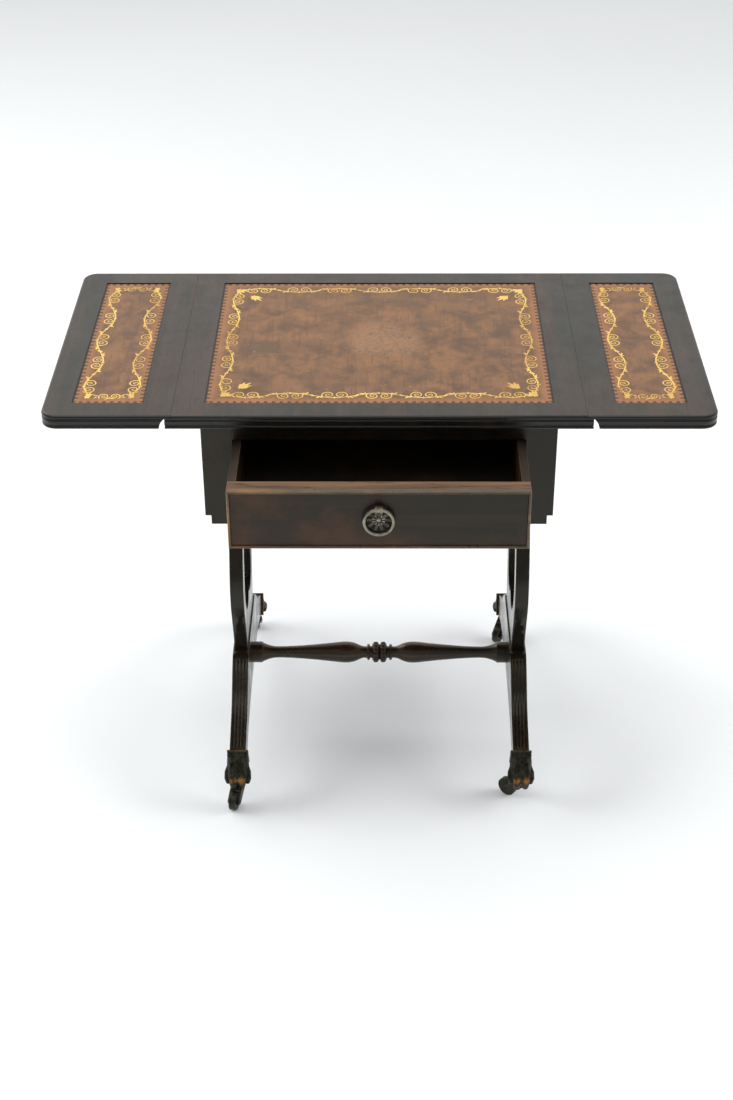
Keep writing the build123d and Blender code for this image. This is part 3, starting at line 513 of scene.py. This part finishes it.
LEG_DOWN = math.radians(-25)     # the leg's end points this far below level
PAW_VOXEL = 0.55 * MM


def paw_mesh():
    """A lion's paw in its own frame: x across, y outwards from the collar's middle, z up from the
    collar's middle.  Its knuckles carry a "worn" value."""
    bm = bmesh.new()

    def at(x, y, z):
        return Vector((x, y, z)) * MM

    def along(x, out, up):
        """A point by distance out along the leg and up across it."""
        c, s = math.cos(LEG_DOWN), math.sin(LEG_DOWN)
        return Vector((x, out * c - up * s, out * s + up * c)) * MM

    add_block(bm, along(0, 3.0, -0.5), (13.1 * MM, 4.0 * MM, 15.4 * MM), LEG_DOWN)
    add_block(bm, along(0, 0.4, -0.4), (14.2 * MM, 1.6 * MM, 16.6 * MM), LEG_DOWN)
    add_block(bm, along(0, 5.8, -0.4), (13.8 * MM, 0.9 * MM, 16.1 * MM), LEG_DOWN)
    add_run(bm, [along(0, 6, -1), at(0, 16, -10.5), at(0, 22, -18)], [11.8 * MM, 11.6 * MM, 10.6 * MM])
    for x in (-5.6, 5.6):
        add_run(bm, [along(x, 5, 5.4), along(x, 12, 2.8), at(x, 22, -14)], [8.4 * MM, 7.8 * MM, 7.6 * MM])
    add_run(bm, [along(0, 4, -8), at(0, 10, -22), at(0, 19, -25.5)], [8 * MM, 9.0 * MM, 8.4 * MM])
    knuckles = []
    for x in (-6.4, 6.4):
        knuckle = at(x, 27.6, -15.2)
        joints = [at(x * 0.7, 15, -3.6), knuckle, at(x * 0.96, 30.8, -22.0), at(x * 0.9, 29.0, -28.0)]
        add_run(bm, joints, [3.0 * MM, 5.2 * MM, 4.8 * MM, 4.4 * MM])
        knuckles.append(knuckle + at(-x * 0.12, 4.2, -1.6))
    for x in (-13.2, 13.2):
        joints = [at(x * 0.82, 9, -4.5), at(x, 18.5, -13.0), at(x * 1.03, 22.6, -19.5), at(x, 22.4, -26.0)]
        add_run(bm, joints, [2.6 * MM, 4.6 * MM, 4.5 * MM, 3.4 * MM])
    # tendons between the toes, and the two curled eyes under the collar
    for x in (-9.6, -3.2, 0.0, 3.2, 9.6):
        lift = 13.6 if x == 0.0 else 12.4
        limb = [along(x * 0.55, 6.5, lift), along(x * 0.9, 16, lift - 2.6), at(x * 1.05, 27, -9.2)]
        add_run(bm, limb, [1.5 * MM, 1.5 * MM, 1.1 * MM])
    for x in (-5.4, 5.4):
        tilt = LEG_DOWN - math.radians(8)
        add_loop(bm, along(x, 11.0, 13.2), (3.0 * MM, 4.4 * MM), 1.15 * MM, tilt)
        add_blob(bm, along(x, 11.0, 13.0), Vector((1.2, 1.9, 1.5)) * MM, tilt)
    for x in (-12.4, 12.4):
        limb = [along(x, 6, 9), along(x * 1.02, 12, 2), at(x * 1.08, 17, -11)]
        add_run(bm, limb, [1.6 * MM, 2.0 * MM, 1.5 * MM])
    mesh = bpy.data.meshes.new("paw")
    bm.to_mesh(mesh)
    bm.free()
    holder = bpy.data.objects.new("paw_shape", mesh)
    bpy.context.scene.collection.objects.link(holder)
    remesh = holder.modifiers.new("skin", "REMESH")
    remesh.mode = "VOXEL"
    remesh.voxel_size = PAW_VOXEL
    smooth = holder.modifiers.new("smooth", "SMOOTH")
    smooth.factor = 0.5
    smooth.iterations = 1
    bpy.context.view_layer.update()
    skinned = holder.evaluated_get(bpy.context.evaluated_depsgraph_get())
    shaped = bpy.data.meshes.new_from_object(skinned)
    bpy.data.objects.remove(holder)
    return shaped, knuckles


def place_paws(material):
    """The same paw at each corner, turned outwards to the front or to the back."""
    shape, knuckles = paw_mesh()
    worn = []
    for v in shape.vertices:
        near = min((v.co - k).length for k in knuckles)
        rubbed = max(0.0, min(1.0, 1.35 - near / (4.6 * MM)))
        out = v.co.y * math.cos(LEG_DOWN) + v.co.z * math.sin(LEG_DOWN)
        worn.append(max(rubbed, 0.2 if out < 1.6 * MM else 0.0))
    faces = [tuple(p.vertices) for p in shape.polygons]
    for place, facing in (("front", -1), ("back", 1)):
        for side in ("left", "right"):
            node = f"{place}_{side}_paw"
            low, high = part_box(node)
            inner_y = low.y if facing > 0 else high.y
            origin = Vector(((low.x + high.x) / 2, inner_y + facing * 11.0 * MM, high.z - 17.55 * MM))
            turned = [Vector((facing * v.co.x, facing * v.co.y, v.co.z)) for v in shape.vertices]
            verts = [v + origin for v in turned]
            paw = make_piece(f"{node}_cast", verts, faces, material, "table", [node], 180)
            layer = paw.data.attributes.new("worn", "FLOAT", "POINT")
            layer.data.foreach_set("value", worn)


# ---- drawer pull --------------------------------------------------------------------
def pull_plate(material):
    """The round backplate: rolled rim, sunk ground, two rings of curled petals and a button."""
    low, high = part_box("pull_backplate")
    centre = Vector(((low.x + high.x) / 2, high.y, (low.z + high.z) / 2))
    radius = (high.x - low.x) / 2 / MM
    rings, spokes = 92, 240

    def bell(value, middle, half):
        x = abs(value - middle) / half
        return math.cos(x * math.pi / 2) if x < 1 else 0.0

    def height(r, angle):
        ground = 1.05 + 0.35 * bell(r, 0, 16)
        rim = 1.25 * bell(r, radius - 1.7, 1.7) ** 0.6
        outer = abs(math.cos(5 * angle)) ** 0.55
        inner = abs(math.sin(5 * angle)) ** 0.55
        petals = 1.5 * outer * bell(r, 10.6, 4.6) ** 0.7
        vein = 0.55 * (1 - min(1.0, abs(math.sin(5 * angle)) / 0.22)) * bell(r, 9.5, 4.0)
        curl = 0.9 * outer**4 * bell(r, 13.6, 1.7)
        heart = 1.7 * inner * bell(r, 5.2, 3.0) ** 0.7
        button = 2.6 * bell(r, 0, 2.9) ** 0.6
        if r >= radius - 0.02:
            return 0.0
        return ground + rim + petals - vein + curl + heart + button

    verts = [centre + Vector((0, -height(0, 0) * MM, 0))]
    for i in range(1, rings + 1):
        r = radius * i / rings
        for j in range(spokes):
            angle = 2 * math.pi * j / spokes
            offset = Vector((r * math.cos(angle), -height(r, angle), r * math.sin(angle)))
            verts.append(centre + offset * MM)
    faces = [(0, 1 + j, 1 + (j + 1) % spokes) for j in range(spokes)]
    for i in range(rings - 1):
        a, b = 1 + i * spokes, 1 + (i + 1) * spokes
        for j in range(spokes):
            k = (j + 1) % spokes
            faces.append((a + j, b + j, b + k, a + k))
    faces.append(tuple(range(1 + (rings - 1) * spokes, 1 + rings * spokes)))
    stands_for = ["pull_backplate"]
    plate = make_piece("pull_plate_cast", verts, faces, material, "drawer", stands_for, 60)
    worn = []
    for v in verts:
        r = math.hypot(v.x - centre.x, v.z - centre.z) / MM
        high_place = ((centre.y - v.y) / MM - 2.0) / 1.6
        worn.append(max(0.0, min(1.0, high_place)) * max(0.0, min(1.0, 1.45 - r / 12)))
    layer = plate.data.attributes.new("worn", "FLOAT", "POINT")
    layer.data.foreach_set("value", worn)


def pull_barrel(material):
    """The knuckle that holds the ring: a post from the plate to a ridged barrel."""
    low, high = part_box("pull_knuckle")
    middle = (low + high) / 2
    half = (high - low) / 2
    rings, spokes = 41, 40
    verts, faces = [], []
    for i in range(rings):
        share = -1 + 2 * i / (rings - 1)
        ridge = 0.34 * MM * math.cos(share * 4 * math.pi)
        end = half.z * (1 - 0.10 * share**6) - 0.4 * MM + ridge
        for j in range(spokes):
            angle = 2 * math.pi * j / spokes
            square = 1 / max(abs(math.cos(angle)), abs(math.sin(angle))) ** 0.55
            y = max(-half.y, min(half.y, -math.sin(angle) * end * square * half.y / half.z))
            verts.append(middle + Vector((share * half.x, y, math.cos(angle) * end * square * 0.93)))
    for i in range(rings - 1):
        for j in range(spokes):
            k = (j + 1) % spokes
            faces.append((i * spokes + j, i * spokes + k, (i + 1) * spokes + k, (i + 1) * spokes + j))
    faces.append(tuple(range(spokes)))
    faces.append(tuple(reversed(range((rings - 1) * spokes, rings * spokes))))
    make_piece("pull_barrel_cast", verts, faces, material, "drawer", ["pull_knuckle"], 50)


# ---- small turned and moulded details -------------------------------------------------
def bead_ring(name, x, axis_y, axis_z, ring_radius, bead_radius, count, material):
    """A ring of small carved beads round the stretcher."""
    bm = bmesh.new()
    for k in range(count):
        angle = 2 * math.pi * k / count
        around = Vector((0, math.cos(angle), math.sin(angle))) * ring_radius
        centre = Vector((x, axis_y, axis_z)) + around
        matrix = Matrix.Translation(centre) @ Matrix.Diagonal((2.1, 1, 1, 1))
        bmesh.ops.create_icosphere(bm, subdivisions=2, radius=bead_radius, matrix=matrix)
    verts = [v.co.copy() for v in bm.verts]
    faces = [tuple(v.index for v in f.verts) for f in bm.faces]
    bm.free()
    return make_piece(name, verts, faces, material, "table", smooth_angle=180)


def rounded_edges(node, width, angle=38, segments=2):
    """Softens a CAD node's sharp edges."""
    thing = nodes[node]
    weld = thing.modifiers.new("join", "WELD")
    weld.merge_threshold = 0.004 * MM
    bevel = thing.modifiers.new("soft_edges", "BEVEL")
    bevel.width = width
    bevel.segments = segments
    bevel.limit_method = "ANGLE"
    bevel.angle_limit = math.radians(angle)
    bevel.use_clamp_overlap = True


def paint(material, *names):
    """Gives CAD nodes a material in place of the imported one."""
    for name in names:
        mesh = nodes[name].data
        mesh.materials.clear()
        mesh.materials.append(material)


# ---- put together ---------------------------------------------------------------------
ends = [f"{place}_{side}" for place in ("front", "back") for side in ("left", "right")]
pairs = ("left", "right")

# the top's reeded edges, sides and joint faces carry painted shade
top_wood = wood(
    "top_wood_grain", "Y", tone(27, 27, 25), tone(52, 37, 31), tone(66, 50, 41), 0.29, 0.28, 0.45,
    polish=NEUTRAL_POLISH, painted_side_shade=0.85
)
upright_wood = wood(
    "upright_wood_grain", "Z", tone(18, 17, 12), tone(27, 22, 15), tone(44, 31, 21), 0.17, 0.5, 0.4, 0.36
)
cross_wood = wood(
    "cross_wood_grain", "X", BLACK_BROWN, tone(34, 26, 19), tone(62, 40, 27), 0.30, 0.5, 0.5, 0.36
)
long_wood = wood(
    "long_wood_grain", "Y", BLACK_BROWN, tone(34, 26, 20), tone(50, 37, 28), 0.34, 0.4, 0.4, 0.36
)
turned_wood = wood(
    "turned_wood_grain", "X", tone(24, 20, 15), tone(50, 30, 20), tone(80, 44, 28), 0.26, 0.35, 0.75
)
bead_wood = wood(
    "bead_wood_grain", "X", tone(66, 58, 47), tone(108, 86, 62), tone(156, 104, 58), 0.28, 0.9, 0.8
)
face_wood = worn_top_wood("drawer_face_wood", "X", tone(118, 90, 68), tone(76, 54, 41), 0.95)
edge_wood = worn_top_wood("drawer_edge_wood", "Y", tone(46, 34, 27), tone(26, 21, 18), 0.75)
hidden_wood = worn_top_wood("inner_wood", "Y", tone(40, 32, 27), tone(28, 23, 20), 0.35)
pull_metal = aged_metal(
    "pull_metal", tone(24, 24, 20), tone(50, 49, 42), tone(206, 200, 182), True, 0.34
)
ring_metal = aged_metal(
    "ring_metal", tone(116, 112, 98), tone(168, 162, 144), tone(220, 208, 180), False, 0.26
)
paw_metal = aged_metal(
    "paw_metal", tone(30, 32, 27), tone(62, 62, 50), tone(172, 118, 56), True, 0.30, 0.85
)
caster_metal = aged_metal(
    "caster_metal", tone(40, 39, 34), tone(66, 63, 54), tone(120, 112, 94), False, 0.34, 0.8
)
hinge_metal = aged_metal(
    "hinge_metal", tone(38, 35, 32), tone(58, 52, 46), tone(110, 100, 88), False, 0.45, 0.7
)
screw_metal = aged_metal(
    "screw_metal", tone(70, 68, 64), tone(104, 100, 94), tone(170, 164, 152), False, 0.36, 0.9
)

paint(top_wood, "top_board", "left_leaf", "right_leaf")
paint(upright_wood, *(f"{side}_stile" for side in pairs), *(f"{side}_lyre" for side in pairs))
paint(upright_wood, *(f"{end}_leg" for end in ends))
paint(cross_wood, "top_rail", "bottom_rail", "back_apron")
for side in pairs:
    paint(long_wood, f"{side}_side_apron", f"{side}_fly_rail", f"{side}_fly_bracket")
paint(turned_wood, "stretcher", "knuckle_pegs")
paint(face_wood, "drawer_front")
paint(bead_wood, "drawer_cock_bead")
paint(edge_wood, "drawer_left_side", "drawer_right_side", "drawer_back")
paint(hidden_wood, "drawer_bottom", "drawer_kickers", "drawer_stops")
paint(hidden_wood, "left_drawer_runner", "right_drawer_runner")
paint(pull_metal, "pull_bolt")
paint(ring_metal, "pull_ring")
paint(caster_metal, *(f"{end}_{part}" for end in ends for part in ("horn", "wheel")))
paint(hinge_metal, "hinge_pins")
for side in pairs:
    paint(hinge_metal, f"{side}_hinge_frame_plates", f"{side}_hinge_leaf_plates")
paint(screw_metal, "hinge_frame_screws", *(f"{side}_leaf_screws" for side in pairs))
paint(leather("top_hide", "top_leather", True), "top_leather")
for side in pairs:
    paint(leather(f"{side}_leaf_hide", f"{side}_leaf_leather", False), f"{side}_leaf_leather")

tool_panel("top_gold", "top_leather", "table", 21 * MM, 5.6 * MM, (3, 2), True)
for side in pairs:
    leaf = f"{side}_leaf"
    tool_panel(f"{leaf}_gold", f"{leaf}_leather", leaf, 16.5 * MM, 7.4 * MM, (0, 2), False)

for node in ("top_board", "left_leaf", "right_leaf"):
    rounded_edges(node, 0.25 * MM)
for node in ("top_rail", "bottom_rail", "back_apron"):
    rounded_edges(node, 0.6 * MM)
for part in ("front", "left_side", "right_side"):
    rounded_edges(f"drawer_{part}", 0.6 * MM)
for side in pairs:
    for part in ("stile", "lyre", "fly_rail", "fly_bracket", "side_apron"):
        rounded_edges(f"{side}_{part}", 0.7 * MM)
for end in ends:
    rounded_edges(f"{end}_horn", 0.45 * MM)
    rounded_edges(f"{end}_leg", 0.8 * MM, 32)

place_paws(paw_metal)
pull_plate(pull_metal)
pull_barrel(ring_metal)

stretcher_low, stretcher_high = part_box("stretcher")
stretcher_z = (stretcher_low.z + stretcher_high.z) / 2
for side, sign in (("left", -1), ("right", 1)):
    place = (sign * 5.2 * MM, mid_y, stretcher_z)
    bead_ring(f"stretcher_beads_{side}", *place, 13.0 * MM, 1.7 * MM, 18, turned_wood)


# ---- stage ----------------------------------------------------------------------------
def add_floor():
    mesh = bpy.data.meshes.new("floor")
    reach = 9.0
    corners = [(-reach, -reach, 0), (reach, -reach, 0), (reach, reach, 0), (-reach, reach, 0)]
    mesh.from_pydata(corners, [], [(0, 1, 2, 3)])
    mesh.materials.append(pale_floor())
    floor = bpy.data.objects.new("floor", mesh)
    bpy.context.scene.collection.objects.link(floor)


def add_light(name, place, size, power, target):
    light = bpy.data.lights.new(name, "AREA")
    light.shape = "DISK"
    light.size = size
    light.energy = power
    light.color = (1.0, 0.985, 0.95)
    lamp = bpy.data.objects.new(name, light)
    lamp.location = place
    lamp.rotation_euler = (Vector(target) - Vector(place)).to_track_quat("-Z", "Y").to_euler()
    bpy.context.scene.collection.objects.link(lamp)
    return lamp


def add_camera():
    """Looks down at the table from in front, 33 degrees below level."""
    pitch, yaw, roll = math.radians(33.266), math.radians(-0.6416), math.radians(0.3073)
    ahead = Vector((math.sin(yaw) * math.cos(pitch), math.cos(yaw) * math.cos(pitch), -math.sin(pitch)))
    right = Vector((math.cos(yaw), -math.sin(yaw), 0))
    down = ahead.cross(right)
    across = right * math.cos(roll) + down * math.sin(roll)
    below = down * math.cos(roll) - right * math.sin(roll)
    data = bpy.data.cameras.new("camera")
    data.sensor_fit = "VERTICAL"
    data.sensor_height = 36.0
    data.lens = 59.64
    camera = bpy.data.objects.new("camera", data)
    eye = table_top + Vector((0.00558, -2.07316, 1.04137))
    turn = Matrix((across, -below, -ahead)).transposed().to_4x4()
    camera.matrix_world = Matrix.Translation(eye) @ turn
    bpy.context.scene.collection.objects.link(camera)
    bpy.context.scene.camera = camera


def light_world():
    """A white studio, brightest behind and above the table and dimmer on the drawer side."""
    world = bpy.data.worlds.new("studio")
    world.use_nodes = True
    tree = world.node_tree
    direction = tree.nodes.new("ShaderNodeTexCoord").outputs["Generated"]
    split = tree.nodes.new("ShaderNodeSeparateXYZ")
    tree.links.new(direction, split.inputs[0])
    spread = tree.nodes.new("ShaderNodeMapRange")
    spread.interpolation_type = "SMOOTHSTEP"
    tree.links.new(split.outputs["Y"], spread.inputs[0])
    for socket, value in zip(range(1, 5), (-0.5, 0.45, 0.42, 1.06)):
        spread.inputs[socket].default_value = value
    background = tree.nodes["Background"]
    background.inputs["Color"].default_value = (1.0, 0.982, 0.935, 1.0)
    tree.links.new(spread.outputs[0], background.inputs["Strength"])
    bpy.context.scene.world = world


add_floor()
add_light("overhead", (-0.4, -0.5, 3.4), 3.4, 38.0, table_top)
add_light("back_left", (-2.2, 2.2, 2.4), 1.8, 22.0, table_top)
for name, sign in (("left_side", -1), ("right_side", 1)):
    fill = add_light(name, (sign * 2.8, mid_y + 0.1, 1.2), 1.8, 62.0, (0, mid_y, 0.05))
    fill.visible_glossy = False
light_world()
bpy.context.scene.view_settings.view_transform = "Standard"
add_camera()
